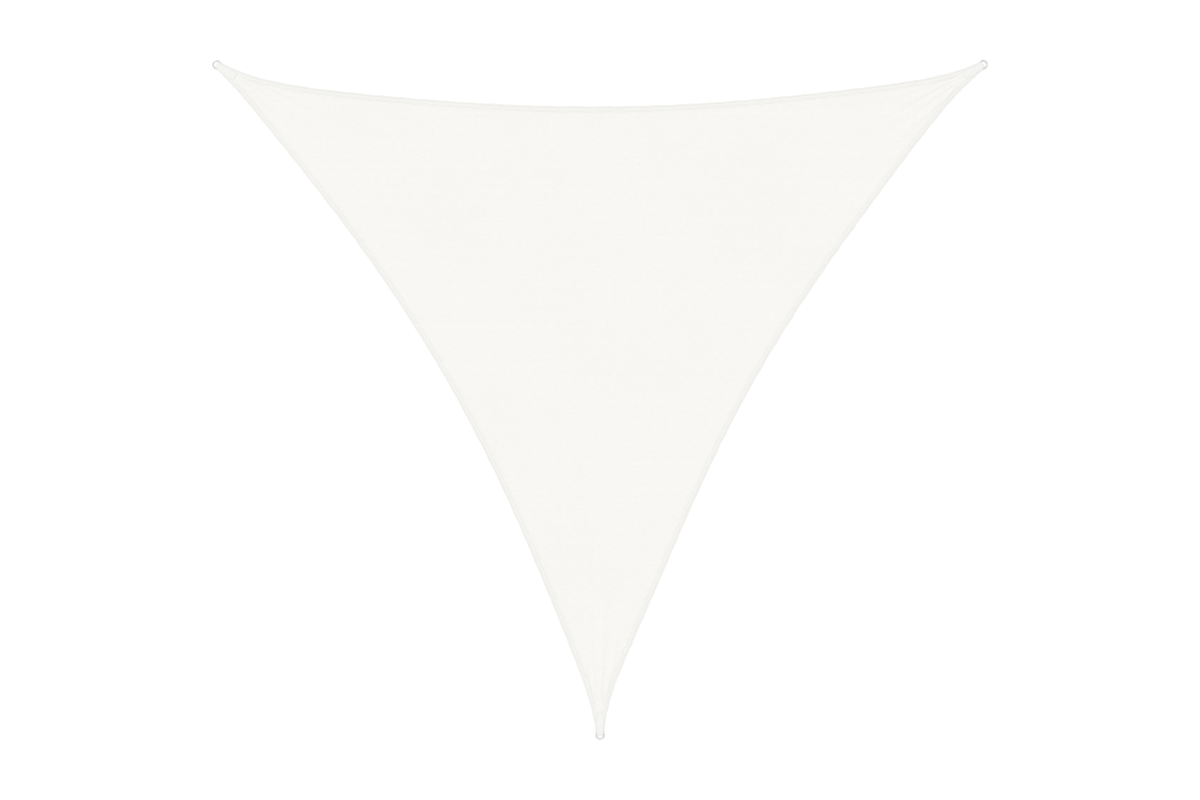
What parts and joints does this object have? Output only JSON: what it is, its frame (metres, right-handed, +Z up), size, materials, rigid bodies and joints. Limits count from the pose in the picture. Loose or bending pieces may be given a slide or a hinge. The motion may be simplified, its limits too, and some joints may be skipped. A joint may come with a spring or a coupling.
{
  "type": "shade sail",
  "caption": "Triangular shade sail, laid out flat: hemmed knitted cloth with inward-curved edges, gathered corners and a D-ring in a webbing loop at each corner.",
  "frame": {"origin": "point on the ground under the middle of the bounding box, close to the middle of the cloth", "axes": "+X from the upper left ring to the upper right ring, +Y from the bottom ring to the upper edge, +Z up out of the cloth"},
  "size_m": [3.5989, 3.1534, 0.0096],
  "materials": {
    "cloth": "warm white knitted shade cloth",
    "webbing": "light grey woven webbing",
    "ring": "polished stainless wire"
  },
  "bodies": {
    "root": {"sail_cloth": "cloth", "webbing_left": "webbing", "webbing_bottom": "webbing", "webbing_right": "webbing", "d_ring_left": "ring", "d_ring_bottom": "ring", "d_ring_right": "ring"}
  },
  "joints": []
}
